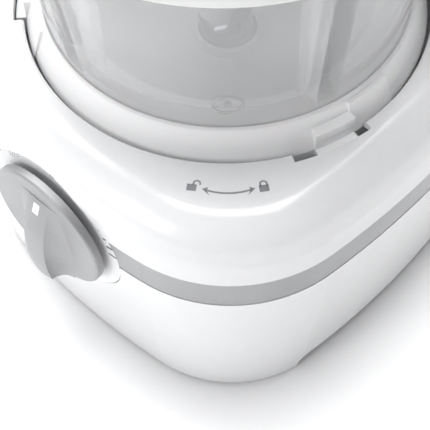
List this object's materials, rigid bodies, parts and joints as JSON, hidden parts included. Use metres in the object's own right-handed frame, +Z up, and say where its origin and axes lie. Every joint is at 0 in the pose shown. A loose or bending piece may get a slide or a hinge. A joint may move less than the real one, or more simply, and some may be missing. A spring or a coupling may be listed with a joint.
{
  "type": "baby food maker",
  "caption": "Steam and blend baby food maker: rounded white motor base with silver trim and dial, clear locking jug with blades and lid, and a rear water tower.",
  "frame": {"origin": "at floor level under the middle of the object's box, which puts the jug's axis at y = -2.7 mm", "axes": "+Z up, -Y towards the dial at the front, +X to the right seen from the front"},
  "size_m": [0.2026, 0.2346, 0.248],
  "materials": {
    "gloss_white": "glossy moulded white",
    "satin_silver": "satin silver paint",
    "knob_silver": "satin metallic",
    "pointer_white": "gloss inlay",
    "well_white": "fine matt",
    "jug_clear": "clear moulded copolyester",
    "collar_frost": "translucent frosted",
    "tank_clear": "clear tinted",
    "rubber_dark": "matt",
    "silicone": "matt translucent silicone",
    "steel": "brushed stainless",
    "blade_steel": "ground stainless",
    "zinc_steel": "zinc plated",
    "aluminium": "cast",
    "laminate": "electrical steel laminations",
    "bronze": "sintered bronze",
    "black_plastic": "glass-filled nylon",
    "grey_plastic": "matt",
    "board_green": "solder mask"
  },
  "bodies": {
    "base": {"upper_casing": "gloss_white", "lower_casing": "gloss_white", "tower_shell": "gloss_white", "trim_band": "satin_silver", "dial_plate": "satin_silver", "bowl_well": "well_white", "tank_rests": "well_white", "water_tank": "tank_clear", "rubber_feet": "rubber_dark", "motor_isolators": "rubber_dark", "cord_gland": "rubber_dark", "shaft_seal": "rubber_dark", "nozzle_seal": "silicone", "steam_pipe": "silicone", "feed_pipe": "silicone", "tank_lid_pin": "steel", "base_screws": "zinc_steel", "motor_can": "zinc_steel", "motor_end_bell": "zinc_steel", "motor_plate": "zinc_steel", "motor_bearings": "zinc_steel", "switch_nut": "zinc_steel", "boiler": "aluminium", "stator_core": "laminate", "rotary_switch": "black_plastic", "safety_switch": "black_plastic", "board_parts": "black_plastic", "dial_bracket": "black_plastic", "base_plate": "grey_plastic", "boiler_stand": "grey_plastic", "steam_nozzle": "grey_plastic", "circuit_board": "board_green"},
    "rotor": {"motor_shaft": "steel", "rotor_core": "laminate", "cooling_fan": "black_plastic", "drive_coupling": "black_plastic"},
    "bowl": {"jug": "jug_clear", "jug_collar": "collar_frost", "jug_handle": "jug_clear", "spindle_bush": "bronze"},
    "blade": {"blade_spindle": "steel", "blade_hub": "black_plastic", "lower_blades": "blade_steel", "upper_blades": "blade_steel", "blade_nut": "black_plastic", "jug_coupling": "black_plastic"},
    "lid": {"lid": "gloss_white", "lid_seal": "silicone"},
    "cap": {"lid_cap": "gloss_white"},
    "knob": {"control_knob": "knob_silver", "knob_pointer": "pointer_white", "knob_shaft": "steel"},
    "plunger": {"switch_plunger": "grey_plastic", "plunger_spring": "steel"},
    "tank_lid": {"tank_lid": "gloss_white"}
  },
  "joints": [
    {"name": "motor_spin", "type": "hinge", "parent": "base", "child": "rotor", "pos_m": [0, -0.0027, 0.06], "axis": [0, 0, 1], "continuous": true},
    {"name": "bowl_turn", "type": "hinge", "parent": "base", "child": "bowl", "pos_m": [0, -0.0027, 0.13], "axis": [0, 0, 1], "range_deg": [0, 22]},
    {"name": "blade_spin", "type": "hinge", "parent": "bowl", "child": "blade", "pos_m": [0, -0.0027, 0.14], "axis": [0, 0, 1], "continuous": true},
    {"name": "lid_lift", "type": "slide", "parent": "bowl", "child": "lid", "axis": [0, 0, 1], "range_m": [0, 0.09]},
    {"name": "cap_lift", "type": "slide", "parent": "lid", "child": "cap", "axis": [0, 0, 1], "range_m": [0, 0.05]},
    {"name": "knob_turn", "type": "hinge", "parent": "base", "child": "knob", "pos_m": [0, -0.1127, 0.0837], "axis": [0, 1, 0], "range_deg": [-60, 85]},
    {"name": "plunger_press", "type": "slide", "parent": "base", "child": "plunger", "axis": [0, 0, -1], "range_m": [0, 0.003], "stiffness_N_per_m": 150, "deforming": ["plunger_spring"]},
    {"name": "tank_lid_open", "type": "hinge", "parent": "base", "child": "tank_lid", "pos_m": [0, 0.1075, 0.2436], "axis": [-1, 0, 0], "range_deg": [0, 95]}
  ],
  "couplings": [
    {"joint": "blade_spin", "follows": "motor_spin", "ratio": 1},
    {"joint": "plunger_press", "follows": "bowl_turn", "m_per_rad": 0.0078}
  ]
}
